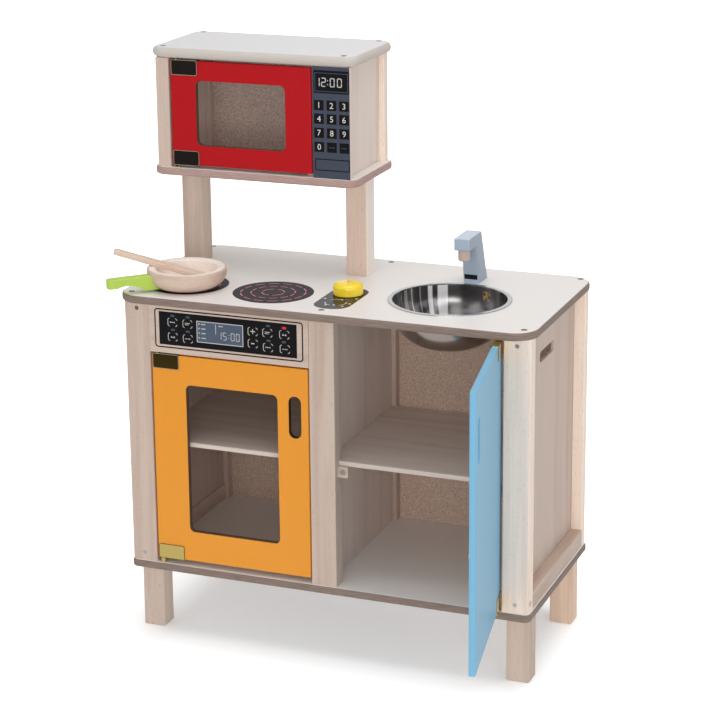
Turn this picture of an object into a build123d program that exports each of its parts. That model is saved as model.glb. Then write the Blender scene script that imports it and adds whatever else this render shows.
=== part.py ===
from build123d import *
import math
import os

# A wooden play kitchen: a cabinet with an oven bay and a sink bay, and a microwave on posts above it.
# Sizes are in mm. The origin is on the floor under the middle of the worktop, X to the right, Y to
# the back and Z up.

os.makedirs("parts", exist_ok=True)

# General allowances
snug = 0.05           # radial clearance of pins, bushes, plugs and screws
slack = 0.3           # clearance round panels and loose pieces
small_round = 1.5     # rounding of the edges of posts and rails

# Boards of the cabinet
worktop_width = 620.0
worktop_depth = 312.0
worktop_top = 520.0
board = 12.0
worktop_corner = 35.0
case_corner = 20.0
board_round = 3.5
base_inset_side = 4.0     # from the edges of the worktop to those of the base board
base_inset_front = 15.0
base_inset_back = 3.0
base_corner = 10.0
leg_height = 100.0
leg_width = 34.0
leg_depth = 32.0
leg_inset_x = 23.6    # from the side of the base board to the middle of a leg
leg_inset_front = 39.0
leg_inset_back = 41.5

# Frame of the cabinet
frame_inset_side = 7.4    # from the edges of the worktop to the outer faces of the frame
frame_inset_front = 18.0
frame_inset_back = 7.0
front_post_width = 38.0
front_post_depth = 24.0
rear_post_width = 29.0
rear_post_depth = 16.0
centre_rear_width = 19.0
rail_height = 25.0
rail_width = 24.0
upper_rail_height = 22.0
panel = 4.0
groove = 5.0
back_board = 3.0
grip_length = 68.0    # carrying slot in each side panel
grip_height = 16.0
grip_drop = 56.0      # from the worktop's underside to the middle of the slot
grip_centre = -4.0

# Shelves and the blocks under them
shelf = 7.0
shelf_top = 298.0
cleat_width = 15.0
cleat_height = 16.0
cleat_depth = 12.0

# Doors of the cabinet
door = 9.0
door_setback = 1.0    # front faces of the doors lie this far behind the posts
side_gap = 2.0
door_round = 2.0
window_round = 8.0
control_height = 74.0
control_thickness = 12.0
oven_gap_top = 2.5
oven_gap_bottom = 8.5
oven_window_left = 52.5
oven_window_right = 47.0
oven_window_top = 42.5
oven_window_bottom = 45.0
slot_width = 19.0
slot_length = 62.0
oven_slot_inset = 11.0
oven_slot_drop = 41.5
sink_gap_top = 5.0
sink_gap_bottom = 7.0
sink_slot_inset = 15.0
sink_slot_drop = 40.0
sink_rest_angle = 100.0

# Hinge clamps, pins and bushes
pivot_inset = 6.5     # from the hinge edge of a door to its pivot
clamp_width = 41.0
clamp_height = 21.0
clamp_inset = 2.0
sheet = 1.2
clamp_round = 3.0
pin_diameter = 4.0
bush_diameter = 6.5
bush_flange = 9.0
bush_depth = 7.0
bush_play = 0.3
clamp_screw = 4.5
magnet_diameter = 8.0
magnet_depth = 4.0
strike_diameter = 12.0
strike_depth = 1.0
stop_gap = 0.3

# Screws and plugs
screw_head = 6.0
screw_head_depth = 2.4
screw_recess = 2.9
screw_shank = 4.0
screw_length = 46.0
screw_socket = 3.0
plug_diameter = 9.0
plug_depth = 3.0
plug_inset_side = 18.0    # from the edges of the worktop
plug_inset_front = 21.5
plug_inset_back = 15.0

# Fittings on the worktop
sink_x = 150.0
sink_y = -26.0
rim_diameter = 175.0
rim_width = 6.5
bowl_depth = 66.5
bowl_draft = 4.0      # the wall is this much nearer the middle at its foot
bowl_round = 58.0     # between the wall and the bottom
steel = 1.2
tap_width = 23.8
tap_x = 150.0
tap_front = 68.7
tap_lean = 9.5        # the front face leans this far forward up to the head
tap_back = 107.0
tap_head_front = 25.3
tap_head_back = 79.0
tap_neck = 57.2       # height of the head's underside over the worktop
tap_head = 18.2
tap_round = 2.0
nozzle_diameter = 17.0
nozzle_length = 16.0
nozzle_y = 36.0
knob_x = 5.0
knob_y = -46.0
knob_diameter = 43.0
knob_height = 17.0
knob_dome = 1.2
knob_round = 6.5
knob_gap = 0.5
spindle_diameter = 6.0
spindle_height = 11.0

# Pan and spoon
pan_x = -228.0
pan_y = -85.0
pan_diameter = 115.0
pan_height = 29.0
pan_floor = 10.5
pan_wall = 13.0
pan_foot_round = 11.0
pan_rim_round = 3.0
handle_angle = -134.0
handle_root = 51.0    # from the pan's middle to the inner end of the handle
handle_neck = 66.0    # to where its underside begins to arch
handle_end = 120.5
handle_width = 16.0
handle_drop = 4.8     # top of the handle below the rim of the pan
handle_root_height = 21.0
handle_end_height = 13.4
handle_arch = 2.0     # rise of the arch over the end's underside
spoon_length = 145.0
spoon_blade = 18.0
spoon_grip = 13.0
spoon_thickness = 7.0
spoon_angle = 190.0
spoon_tip_reach = 32.0

# Microwave
oven_box_left = -310.0
oven_box_right = 8.5
oven_box_front = -22.7
oven_box_back = 139.0
oven_box_bottom = 666.4
microwave_height = 159.6    # between its floor board and its top board
top_board = 16.0
carcass_inset_side = 9.0
carcass_inset_front = 3.7
carcass_inset_back = 7.0
microwave_post_width = 20.5
microwave_post_depth = 15.0
microwave_panel_inset = 8.5
keypad_width = 57.2
keypad_thickness = 12.0
microwave_side_gap = 2.5
microwave_free_gap = 2.0
microwave_gap_top = 3.0
microwave_gap_bottom = 4.6
microwave_window_left = 39.5
microwave_window_right = 39.7
microwave_window_top = 28.0
microwave_window_bottom = 29.3
microwave_stop_width = 10.0
microwave_stop_height = 12.0
microwave_stop_depth = 8.0
support_width = 33.3
support_front = 49.6
support_depth = 33.0
support_inset_left = 11.8
support_inset_right = 11.4

# Levels that follow from the sizes above
base_top = leg_height + board
worktop_under = worktop_top - board
base_width = worktop_width - 2 * base_inset_side
base_front = base_inset_front - worktop_depth / 2
base_back = worktop_depth / 2 - base_inset_back
half_frame = worktop_width / 2 - frame_inset_side
frame_front = frame_inset_front - worktop_depth / 2
frame_back = worktop_depth / 2 - frame_inset_back
plug_x = worktop_width / 2 - plug_inset_side
plug_front = plug_inset_front - worktop_depth / 2
plug_back = worktop_depth / 2 - plug_inset_back
front_post_x = half_frame - front_post_width / 2
post_inner = half_frame - front_post_width
post_back = frame_front + front_post_depth
rear_post_front = frame_back - rear_post_depth
panel_x = front_post_x
panel_inner = panel_x - panel / 2
centre_half = front_post_width / 2
lower_rail_top = base_top + rail_height
upper_rail_under = worktop_under - upper_rail_height
shelf_under = shelf_top - shelf
door_front = frame_front + door_setback
door_back = door_front + door
pivot_y = door_front + door / 2
shelf_front = pivot_y + math.hypot(pivot_inset, door / 2) + slack
control_under = worktop_under - control_height
microwave_floor_top = oven_box_bottom + board
microwave_top_under = microwave_floor_top + microwave_height
carcass_left = oven_box_left + carcass_inset_side
carcass_right = oven_box_right - carcass_inset_side
carcass_front = oven_box_front + carcass_inset_front
carcass_back = oven_box_back - carcass_inset_back
microwave_door_front = carcass_front + door_setback
microwave_pivot_y = microwave_door_front + door / 2
keypad_left = carcass_right - keypad_width
microwave_rear_y = carcass_back - microwave_post_depth
microwave_left_panel = carcass_left + microwave_panel_inset
microwave_right_panel = carcass_right - microwave_panel_inset - panel


def save(builder, label):
    """Name a finished piece and write it to its own file."""
    builder.part.label = label
    export_step(builder.part, "parts/" + label + ".step")


def bar(x, y, z, mode=Mode.ADD):
    """A square bar between the ends given for each axis, in the open part."""
    with Locations(((x[0] + x[1]) / 2, (y[0] + y[1]) / 2, (z[0] + z[1]) / 2)):
        Box(abs(x[1] - x[0]), abs(y[1] - y[0]), abs(z[1] - z[0]), mode=mode)


def drill(x, y, z, diameter, depth, direction):
    """A blind hole from the point given, running along the direction, in the open part."""
    with Locations(Plane(origin=(x, y, z), z_dir=direction).location):
        Cylinder(diameter / 2, depth, align=(Align.CENTER, Align.CENTER, Align.MIN), mode=Mode.SUBTRACT)


def timber(x, y, z, axis, radius=small_round):
    """A bar with its four long edges rounded, in the open part."""
    bar(x, y, z)
    fillet(edges().filter_by(axis), radius=radius)


# Floor board of the cabinet, on four legs
base_y = (base_front + base_back) / 2
leg_x = base_width / 2 - leg_inset_x
with BuildPart() as base_board:
    with BuildSketch(Plane.XY.offset(leg_height)):
        with Locations((0, base_y)):
            RectangleRounded(base_width, base_back - base_front, base_corner)
    extrude(amount=board)
    fillet(faces().sort_by(Axis.Z)[0].edges() + faces().sort_by(Axis.Z)[-1].edges(), radius=board_round)
    for side in (-1, 1):
        drill(side * (post_inner - side_gap - pivot_inset), pivot_y, base_top,
              bush_diameter + 2 * snug, bush_depth, (0, 0, -1))
save(base_board, "base_board")

for leg_name, leg_side, leg_y in (
    ("leg_front_left", -1, base_front + leg_inset_front),
    ("leg_front_right", 1, base_front + leg_inset_front),
    ("leg_rear_left", -1, base_back - leg_inset_back),
    ("leg_rear_right", 1, base_back - leg_inset_back),
):
    with BuildPart() as leg:
        timber((leg_side * leg_x - leg_width / 2, leg_side * leg_x + leg_width / 2),
               (leg_y - leg_depth / 2, leg_y + leg_depth / 2), (0, leg_height), Axis.Z, 2 * small_round)
        chamfer(faces().sort_by(Axis.Z)[0].edges(), length=small_round)
    save(leg, leg_name)

# Front posts. The outer two have grooves for the side panels and two screws each, the middle one
# has a groove for the divider
screw_levels = (base_top + rail_height / 2, worktop_under - upper_rail_height / 2)
for post_name, side in (("front_post_left", -1), ("front_post_right", 1)):
    with BuildPart() as front_post:
        timber((side * post_inner, side * half_frame), (frame_front, post_back),
               (base_top, worktop_under), Axis.Z)
        bar((side * panel_x - panel / 2 - slack, side * panel_x + panel / 2 + slack),
            (post_back - groove, post_back), (lower_rail_top - groove, upper_rail_under), Mode.SUBTRACT)
        for level in screw_levels:
            drill(side * front_post_x, frame_front, level, screw_head + 2 * snug, screw_recess, (0, 1, 0))
            drill(side * front_post_x, frame_front, level, screw_shank + 2 * snug, front_post_depth,
                  (0, 1, 0))
        drill(side * half_frame, (frame_front + post_back) / 2, screw_levels[0],
              plug_diameter + 2 * snug, plug_depth, (-side, 0, 0))
        drill(side * plug_x, plug_front, worktop_under,
              screw_shank + 2 * snug, rail_height, (0, 0, -1))
    save(front_post, post_name)

with BuildPart() as front_post_centre:
    timber((-centre_half, centre_half), (frame_front, post_back), (base_top, worktop_under), Axis.Z)
    bar((-panel / 2 - slack, panel / 2 + slack), (post_back - groove, post_back),
        (base_top, worktop_under), Mode.SUBTRACT)
save(front_post_centre, "front_post_centre")

# Rear posts
for post_name, side in (("rear_post_left", -1), ("rear_post_right", 1)):
    with BuildPart() as rear_post:
        timber((side * (half_frame - rear_post_width), side * half_frame), (rear_post_front, frame_back),
               (base_top, worktop_under), Axis.Z)
        bar((side * panel_x - panel / 2 - slack, side * panel_x + panel / 2 + slack),
            (rear_post_front, rear_post_front + groove), (lower_rail_top - groove, upper_rail_under),
            Mode.SUBTRACT)
    save(rear_post, post_name)

with BuildPart() as rear_post_centre:
    timber((-centre_rear_width / 2, centre_rear_width / 2), (rear_post_front, frame_back),
           (base_top, worktop_under), Axis.Z)
    bar((-panel / 2 - slack, panel / 2 + slack), (rear_post_front, rear_post_front + groove),
        (base_top, worktop_under), Mode.SUBTRACT)
save(rear_post_centre, "rear_post_centre")

# Side rails between the posts. The lower ones are flush with the outer faces and grooved for the
# panel, the upper ones lie inside, level with the panel's outer face
rail_hole_depth = screw_length - front_post_depth + screw_recess
for rail_name, side in (("lower_rail_left", -1), ("lower_rail_right", 1)):
    with BuildPart() as lower_rail:
        timber((side * (half_frame - rail_width), side * half_frame), (post_back, rear_post_front),
               (base_top, lower_rail_top), Axis.Y)
        bar((side * panel_x - panel / 2 - slack, side * panel_x + panel / 2 + slack),
            (post_back, rear_post_front), (lower_rail_top - groove, lower_rail_top), Mode.SUBTRACT)
        drill(side * front_post_x, post_back, screw_levels[0], screw_shank + 2 * snug,
              rail_hole_depth, (0, 1, 0))
    save(lower_rail, rail_name)

for rail_name, side in (("upper_rail_left", -1), ("upper_rail_right", 1)):
    with BuildPart() as upper_rail:
        bar((side * post_inner, side * (panel_x + panel / 2)), (post_back, rear_post_front),
            (upper_rail_under, worktop_under))
        drill(side * front_post_x, post_back, screw_levels[1], screw_shank + 2 * snug,
              rail_hole_depth, (0, 1, 0))
    save(upper_rail, rail_name)

# Thin side panels, each with a slot to carry the kitchen by
for panel_name, side in (("side_panel_left", -1), ("side_panel_right", 1)):
    with BuildPart() as side_panel:
        bar((side * (panel_x - panel / 2), side * (panel_x + panel / 2)),
            (post_back - groove + slack, rear_post_front + groove - slack),
            (lower_rail_top - groove + slack, upper_rail_under - slack))
        with BuildSketch(Plane.YZ.offset(side * panel_x)):
            with Locations((grip_centre, worktop_under - grip_drop)):
                RectangleRounded(grip_length, grip_height, grip_height / 3)
        extrude(amount=panel, both=True, mode=Mode.SUBTRACT)
    save(side_panel, panel_name)

# Divider between the bays, and the back
with BuildPart() as divider_panel:
    bar((-panel / 2, panel / 2), (post_back - groove + slack, rear_post_front + groove - slack),
        (base_top + slack, worktop_under - slack))
save(divider_panel, "divider_panel")

with BuildPart() as back_panel:
    bar((-half_frame + side_gap, half_frame - side_gap), (frame_back, frame_back + back_board),
        (base_top + slack, worktop_under - slack))
save(back_panel, "back_panel")

# Shelves, notched round the posts, each on four blocks. The blocks beside the middle post also stop
# the doors and hold their magnets
magnet_z = shelf_under - cleat_height / 2
stop_front = door_back + stop_gap
for bay_name, side in (("oven_shelf", -1), ("sink_shelf", 1)):
    with BuildPart() as bay_shelf:
        bar((side * (panel / 2 + slack), side * (panel_inner - slack)),
            (shelf_front, rear_post_front - slack), (shelf_under, shelf_top))
        bar((0, side * (centre_half + slack)), (shelf_front, post_back + slack),
            (shelf_under, shelf_top), Mode.SUBTRACT)
        bar((side * (post_inner - slack), side * half_frame), (shelf_front, post_back + slack),
            (shelf_under, shelf_top), Mode.SUBTRACT)
        fillet(edges().filter_by(Axis.X).group_by(Axis.Y)[0], radius=small_round)
    save(bay_shelf, bay_name)
    with BuildPart() as cleats:
        bar((side * centre_half, side * (centre_half + cleat_width)),
            (stop_front, post_back), (shelf_under - cleat_height, shelf_under))
        bar((side * (post_inner - cleat_width), side * post_inner),
            (shelf_front, post_back), (shelf_under - cleat_height, shelf_under))
        bar((side * (panel / 2 + slack), side * (panel / 2 + slack + cleat_width)),
            (rear_post_front - cleat_depth, rear_post_front), (shelf_under - cleat_height, shelf_under))
        bar((side * (panel_inner - slack - cleat_width), side * (panel_inner - slack)),
            (rear_post_front - cleat_depth, rear_post_front), (shelf_under - cleat_height, shelf_under))
        drill(side * (centre_half + cleat_width / 2), stop_front, magnet_z,
              magnet_diameter + 2 * snug, magnet_depth, (0, 1, 0))
    save(cleats, bay_name + "_cleats")

# Board over the oven door, which carries the door's upper bush
oven_pivot_x = -(post_inner - side_gap - pivot_inset)
sink_pivot_x = post_inner - side_gap - pivot_inset
with BuildPart() as control_panel:
    timber((-post_inner, -centre_half), (frame_front, frame_front + control_thickness),
           (control_under, worktop_under), Axis.X)
    drill(oven_pivot_x, pivot_y, control_under, bush_diameter + 2 * snug, bush_depth, (0, 0, 1))
save(control_panel, "control_panel")

# Worktop with the sink cut-out, the bores for the knob's spindle and the sink door's bush, and
# counterbored screw holes closed by plugs
cut_diameter = rim_diameter - 2 * rim_width + 2 * steel + 2 * slack
plug_places = [(x, y) for x in (-plug_x, 0, plug_x) for y in (plug_front, plug_back)]
with BuildPart() as worktop:
    with BuildSketch(Plane.XY.offset(worktop_under)):
        RectangleRounded(worktop_width, worktop_depth, worktop_corner)
    extrude(amount=board)
    fillet(faces().sort_by(Axis.Z)[0].edges() + faces().sort_by(Axis.Z)[-1].edges(), radius=board_round)
    with Locations((sink_x, sink_y, worktop_top)):
        Hole(cut_diameter / 2, depth=board)
    chamfer(edges().filter_by(GeomType.CIRCLE).filter_by(lambda e: e.radius > worktop_corner)
            .sort_by(Axis.Z)[-1], length=slack)
    drill(knob_x, knob_y, worktop_top, spindle_diameter + 2 * snug, board - back_board, (0, 0, -1))
    drill(sink_pivot_x, pivot_y, worktop_under, bush_diameter + 2 * snug, bush_depth, (0, 0, 1))
    for x, y in plug_places:
        drill(x, y, worktop_top, plug_diameter + 2 * snug, plug_depth, (0, 0, -1))
        drill(x, y, worktop_top, screw_shank + 2 * snug, board, (0, 0, -1))
save(worktop, "worktop")

with BuildPart() as worktop_plugs:
    with Locations(*[(x, y, worktop_top - plug_depth) for x, y in plug_places]):
        Cylinder(plug_diameter / 2, plug_depth, align=(Align.CENTER, Align.CENTER, Align.MIN))
save(worktop_plugs, "worktop_plugs")

# Plugs over the screws that hold the lower rails, in the outer faces of the front posts
with BuildPart() as rail_plugs:
    for side in (-1, 1):
        with Locations(Plane(origin=(side * half_frame, (frame_front + post_back) / 2, screw_levels[0]),
                             z_dir=(-side, 0, 0)).location):
            Cylinder(plug_diameter / 2, plug_depth, align=(Align.CENTER, Align.CENTER, Align.MIN))
save(rail_plugs, "rail_plugs")

# Steel screws through the front posts into the ends of the rails
with BuildPart() as post_screws:
    for side in (-1, 1):
        for level in screw_levels:
            with Locations(Plane(origin=(side * front_post_x, frame_front + screw_recess
                                         - screw_head_depth, level), z_dir=(0, 1, 0)).location):
                Cylinder(screw_head / 2, screw_head_depth, align=(Align.CENTER, Align.CENTER, Align.MIN))
                Cylinder(screw_shank / 2, screw_length, align=(Align.CENTER, Align.CENTER, Align.MIN))
                Cylinder(screw_socket / 2, screw_head_depth / 2,
                         align=(Align.CENTER, Align.CENTER, Align.MIN), mode=Mode.SUBTRACT)
save(post_screws, "post_screws")


def make_door(x, z, front, window, slot, strike):
    """A door board with rounded edges, and a window, a finger slot or both.

    The window is its left, right, bottom and top edges; the slot is the middle of its width and the
    level of its top; the strike is the middle of a shallow seat in the back face.
    """
    with BuildPart() as built:
        bar(x, (front, front + door), z)
        fillet(edges().filter_by(Axis.Z), radius=door_round)
        if window:
            with BuildSketch(Plane.XZ.offset(-front)):
                with Locations(((window[0] + window[1]) / 2, (window[2] + window[3]) / 2)):
                    RectangleRounded(window[1] - window[0], window[3] - window[2], window_round)
            extrude(amount=-door, mode=Mode.SUBTRACT)
        if slot:
            with BuildSketch(Plane.XZ.offset(-front)):
                with Locations((slot[0], slot[1] - slot_length / 2)):
                    SlotOverall(slot_length, slot_width, rotation=90)
            extrude(amount=-door, mode=Mode.SUBTRACT)
        drill(strike[0], front + door, strike[1], strike_diameter + 2 * snug, strike_depth, (0, -1, 0))
        rims = edges().filter_by(Axis.Y, reverse=True).filter_by(
            lambda e: abs(e.bounding_box().size.Y) < snug and e.center().Y < front + snug)
        chamfer(rims, length=door_round / 4)
    return built


def make_clamps(door_edge, side, z, front, gaps):
    """Two brass clamps round the hinge corners of a door, each with its pivot pin.

    The side is 1 where the door lies to the right of its hinge edge, and -1 where it lies to the left.
    """
    near = door_edge + side * clamp_inset
    far = near + side * clamp_width
    pivot = door_edge + side * pivot_inset
    with BuildPart() as built:
        for up, edge, gap in ((-1, z[0], gaps[0]), (1, z[1], gaps[1])):
            inner = edge - up * clamp_height
            outer = edge + up * sheet
            bar((near, far), (front - sheet, front), (inner, outer))
            bar((near, far), (front + door, front + door + sheet), (inner, outer))
            bar((near, far), (front, front + door), (edge, outer))
            reach = gap - sheet + bush_depth - bush_play
            with Locations(Plane(origin=(pivot, front + door / 2, outer), z_dir=(0, 0, up)).location):
                Cylinder(pin_diameter / 2, reach, align=(Align.CENTER, Align.CENTER, Align.MIN))
            for x in (near + side * clamp_width / 4, near + side * clamp_width * 3 / 4):
                with Locations(Plane(origin=(x, front + door + sheet, edge - up * clamp_height / 2),
                                     z_dir=(0, 1, 0)).location):
                    Cylinder(clamp_screw / 2, sheet, align=(Align.CENTER, Align.CENTER, Align.MIN))
        corners = edges().filter_by(Axis.Y).filter_by(
            lambda e: z[0] + door < e.center().Z < z[1] - door and e.length < 2 * sheet)
        fillet(corners, radius=clamp_round)
    return built


def bushes(pivot, y, z, gaps):
    """The lower and upper bush of one door, seated in the boards below and above it."""
    for up, edge, gap in ((-1, z[0], gaps[0]), (1, z[1], gaps[1])):
        seat = edge + up * gap
        with Locations(Plane(origin=(pivot, y, seat), z_dir=(0, 0, up)).location):
            Cylinder(bush_diameter / 2, bush_depth, align=(Align.CENTER, Align.CENTER, Align.MIN))
        with Locations(Plane(origin=(pivot, y, seat), z_dir=(0, 0, -up)).location):
            Cylinder(bush_flange / 2, gap - sheet - bush_play,
                     align=(Align.CENTER, Align.CENTER, Align.MIN))


def bush_bores(pivot, y, z, gaps):
    """Bores of one door's bushes, a running fit on the pins."""
    with Locations((pivot, y, (z[0] + z[1]) / 2)):
        Cylinder(pin_diameter / 2 + snug, z[1] - z[0] + 2 * (max(gaps) + bush_depth), mode=Mode.SUBTRACT)


# Oven door, hinged on the left post
oven_x = (-post_inner + side_gap, -centre_half - side_gap)
oven_z = (base_top + oven_gap_bottom, control_under - oven_gap_top)
oven_window = (oven_x[0] + oven_window_left, oven_x[1] - oven_window_right,
               oven_z[0] + oven_window_bottom, oven_z[1] - oven_window_top)
oven_slot = (oven_x[1] - oven_slot_inset - slot_width / 2, oven_z[1] - oven_slot_drop)
strike_x = centre_half + cleat_width / 2
oven_door = make_door(oven_x, oven_z, door_front, oven_window, oven_slot, (-strike_x, magnet_z))
save(oven_door, "oven_door")
oven_hinge_clamps = make_clamps(oven_x[0], 1, oven_z, door_front, (oven_gap_bottom, oven_gap_top))
save(oven_hinge_clamps, "oven_hinge_clamps")

# Sink door, hinged on the right post. It is shaped closed and rests wide open
sink_x_span = (centre_half + side_gap, post_inner - side_gap)
sink_z = (base_top + sink_gap_bottom, worktop_under - sink_gap_top)
sink_slot = (sink_x_span[0] + sink_slot_inset + slot_width / 2, sink_z[1] - sink_slot_drop)
sink_axis = Axis((sink_pivot_x, pivot_y, 0), (0, 0, 1))


def swing_open(closed):
    """The piece turned about the sink door's hinge to where it rests."""
    with BuildPart() as turned:
        add(closed.part.rotate(sink_axis, sink_rest_angle))
    return turned


sink_door = swing_open(make_door(sink_x_span, sink_z, door_front, None, sink_slot, (strike_x, magnet_z)))
save(sink_door, "sink_door")
sink_hinge_clamps = swing_open(
    make_clamps(sink_x_span[1], -1, sink_z, door_front, (sink_gap_bottom, sink_gap_top)))
save(sink_hinge_clamps, "sink_hinge_clamps")

# Microwave door, hinged on the left post
microwave_x = (carcass_left + microwave_post_width + microwave_side_gap, keypad_left - microwave_free_gap)
microwave_z = (microwave_floor_top + microwave_gap_bottom, microwave_top_under - microwave_gap_top)
microwave_pivot_x = microwave_x[0] + pivot_inset
microwave_window = (microwave_x[0] + microwave_window_left, microwave_x[1] - microwave_window_right,
                    microwave_z[0] + microwave_window_bottom, microwave_z[1] - microwave_window_top)
stop_x = microwave_x[1] - microwave_stop_width / 2
stop_z = microwave_top_under - microwave_stop_height / 2
stop_face = microwave_door_front + door + stop_gap
microwave_door = make_door(microwave_x, microwave_z, microwave_door_front, microwave_window, None,
                           (stop_x - strike_diameter / 4, stop_z - microwave_gap_top - small_round))
save(microwave_door, "microwave_door")
microwave_hinge_clamps = make_clamps(microwave_x[0], 1, microwave_z, microwave_door_front,
                                     (microwave_gap_bottom, microwave_gap_top))
save(microwave_hinge_clamps, "microwave_hinge_clamps")

# Bushes of the three doors
with BuildPart() as hinge_bushes:
    bushes(oven_pivot_x, pivot_y, oven_z, (oven_gap_bottom, oven_gap_top))
    bushes(sink_pivot_x, pivot_y, sink_z, (sink_gap_bottom, sink_gap_top))
    bushes(microwave_pivot_x, microwave_pivot_y, microwave_z, (microwave_gap_bottom, microwave_gap_top))
    bush_bores(oven_pivot_x, pivot_y, oven_z, (oven_gap_bottom, oven_gap_top))
    bush_bores(sink_pivot_x, pivot_y, sink_z, (sink_gap_bottom, sink_gap_top))
    bush_bores(microwave_pivot_x, microwave_pivot_y, microwave_z, (microwave_gap_bottom, microwave_gap_top))
save(hinge_bushes, "hinge_bushes")


def make_strike(x, z, back):
    """A steel disc let into the back of a door, over a magnet."""
    with BuildPart() as built:
        with Locations(Plane(origin=(x, back, z), z_dir=(0, -1, 0)).location):
            Cylinder(strike_diameter / 2, strike_depth, align=(Align.CENTER, Align.CENTER, Align.MIN))
    return built


oven_strike = make_strike(-strike_x, magnet_z, door_back)
save(oven_strike, "oven_strike")
sink_strike = swing_open(make_strike(strike_x, magnet_z, door_back))
save(sink_strike, "sink_strike")
microwave_strike = make_strike(stop_x - strike_diameter / 4, stop_z - microwave_gap_top - small_round,
                               microwave_door_front + door)
save(microwave_strike, "microwave_strike")

with BuildPart() as door_magnets:
    for x, y, z in ((-strike_x, stop_front, magnet_z), (strike_x, stop_front, magnet_z),
                    (stop_x, stop_face, stop_z)):
        with Locations(Plane(origin=(x, y, z), z_dir=(0, 1, 0)).location):
            Cylinder(magnet_diameter / 2, magnet_depth, align=(Align.CENTER, Align.CENTER, Align.MIN))
save(door_magnets, "door_magnets")

# Microwave case: floor board, top board, posts, panels and the keypad board
case_x = (oven_box_left + oven_box_right) / 2
case_y = (oven_box_front + oven_box_back) / 2
with BuildPart() as microwave_floor:
    with BuildSketch(Plane.XY.offset(oven_box_bottom)):
        with Locations((case_x, case_y)):
            RectangleRounded(oven_box_right - oven_box_left, oven_box_back - oven_box_front, case_corner)
    extrude(amount=board)
    fillet(faces().sort_by(Axis.Z)[0].edges() + faces().sort_by(Axis.Z)[-1].edges(), radius=board_round)
    drill(microwave_pivot_x, microwave_pivot_y, microwave_floor_top, bush_diameter + 2 * snug,
          bush_depth, (0, 0, -1))
save(microwave_floor, "microwave_floor")

left_post_x = carcass_left + microwave_post_width / 2
right_post_x = carcass_right - microwave_post_width / 2
case_plugs = [(left_post_x, carcass_front + microwave_post_depth / 2),
              (left_post_x, carcass_back - microwave_post_depth / 2),
              (right_post_x, carcass_front + keypad_thickness / 2),
              (right_post_x, carcass_back - microwave_post_depth / 2)]
with BuildPart() as microwave_top:
    with BuildSketch(Plane.XY.offset(microwave_top_under)):
        with Locations((case_x, case_y)):
            RectangleRounded(oven_box_right - oven_box_left, oven_box_back - oven_box_front, case_corner)
    extrude(amount=top_board)
    fillet(faces().sort_by(Axis.Z)[0].edges() + faces().sort_by(Axis.Z)[-1].edges(),
           radius=top_board / 2 - snug)
    drill(microwave_pivot_x, microwave_pivot_y, microwave_top_under, bush_diameter + 2 * snug,
          bush_depth, (0, 0, 1))
    for x, y in case_plugs:
        drill(x, y, microwave_top_under + top_board, plug_diameter + 2 * snug, plug_depth, (0, 0, -1))
save(microwave_top, "microwave_top")

with BuildPart() as microwave_plugs:
    with Locations(*[(x, y, microwave_top_under + top_board - plug_depth) for x, y in case_plugs]):
        Cylinder(plug_diameter / 2, plug_depth, align=(Align.CENTER, Align.CENTER, Align.MIN))
save(microwave_plugs, "microwave_plugs")

for post_name, post_left, post_front, groove_x, back_groove in (
    ("microwave_post_front_left", carcass_left, carcass_front, microwave_left_panel, 1),
    ("microwave_post_rear_left", carcass_left, microwave_rear_y, microwave_left_panel, 0),
    ("microwave_post_rear_right", carcass_right - microwave_post_width, microwave_rear_y,
     microwave_right_panel, 0),
):
    with BuildPart() as microwave_post:
        timber((post_left, post_left + microwave_post_width), (post_front, post_front + microwave_post_depth),
               (microwave_floor_top, microwave_top_under), Axis.Z)
        groove_front = post_front + back_groove * (microwave_post_depth - groove)
        bar((groove_x - slack, groove_x + panel + slack), (groove_front, groove_front + groove),
            (microwave_floor_top, microwave_top_under), Mode.SUBTRACT)
    save(microwave_post, post_name)

keypad_back = carcass_front + keypad_thickness
with BuildPart() as keypad_board:
    timber((keypad_left, carcass_right), (carcass_front, keypad_back),
           (microwave_floor_top, microwave_top_under), Axis.Z)
    bar((microwave_right_panel - slack, microwave_right_panel + panel + slack),
        (keypad_back - groove, keypad_back), (microwave_floor_top, microwave_top_under), Mode.SUBTRACT)
save(keypad_board, "keypad_board")

for panel_name, left, front in (
    ("microwave_side_left", microwave_left_panel, carcass_front + microwave_post_depth),
    ("microwave_side_right", microwave_right_panel, keypad_back),
):
    with BuildPart() as microwave_side:
        bar((left, left + panel), (front - groove + slack, microwave_rear_y + groove - slack),
            (microwave_floor_top + slack, microwave_top_under - slack))
    save(microwave_side, panel_name)

with BuildPart() as microwave_back:
    bar((carcass_left + side_gap, carcass_right - side_gap), (carcass_back, carcass_back + back_board),
        (microwave_floor_top + slack, microwave_top_under - slack))
save(microwave_back, "microwave_back")

# Blocks behind the free corners of the microwave door, the upper one with a magnet
with BuildPart() as microwave_stops:
    for low in (microwave_floor_top, microwave_top_under - microwave_stop_height):
        bar((stop_x - microwave_stop_width / 2, keypad_left + small_round),
            (stop_face, stop_face + microwave_stop_depth), (low, low + microwave_stop_height))
    drill(stop_x, stop_face, stop_z, magnet_diameter + 2 * snug, magnet_depth, (0, 1, 0))
    bar((keypad_left - slack, carcass_right), (carcass_front, keypad_back + slack),
        (microwave_floor_top, microwave_top_under), Mode.SUBTRACT)
save(microwave_stops, "microwave_stops")

# Posts that carry the microwave over the worktop
for post_name, left in (
    ("support_post_left", oven_box_left + support_inset_left),
    ("support_post_right", oven_box_right - support_inset_right - support_width),
):
    with BuildPart() as support_post:
        timber((left, left + support_width), (support_front, support_front + support_depth),
               (worktop_top, oven_box_bottom), Axis.Z, 2 * small_round)
    save(support_post, post_name)

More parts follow.
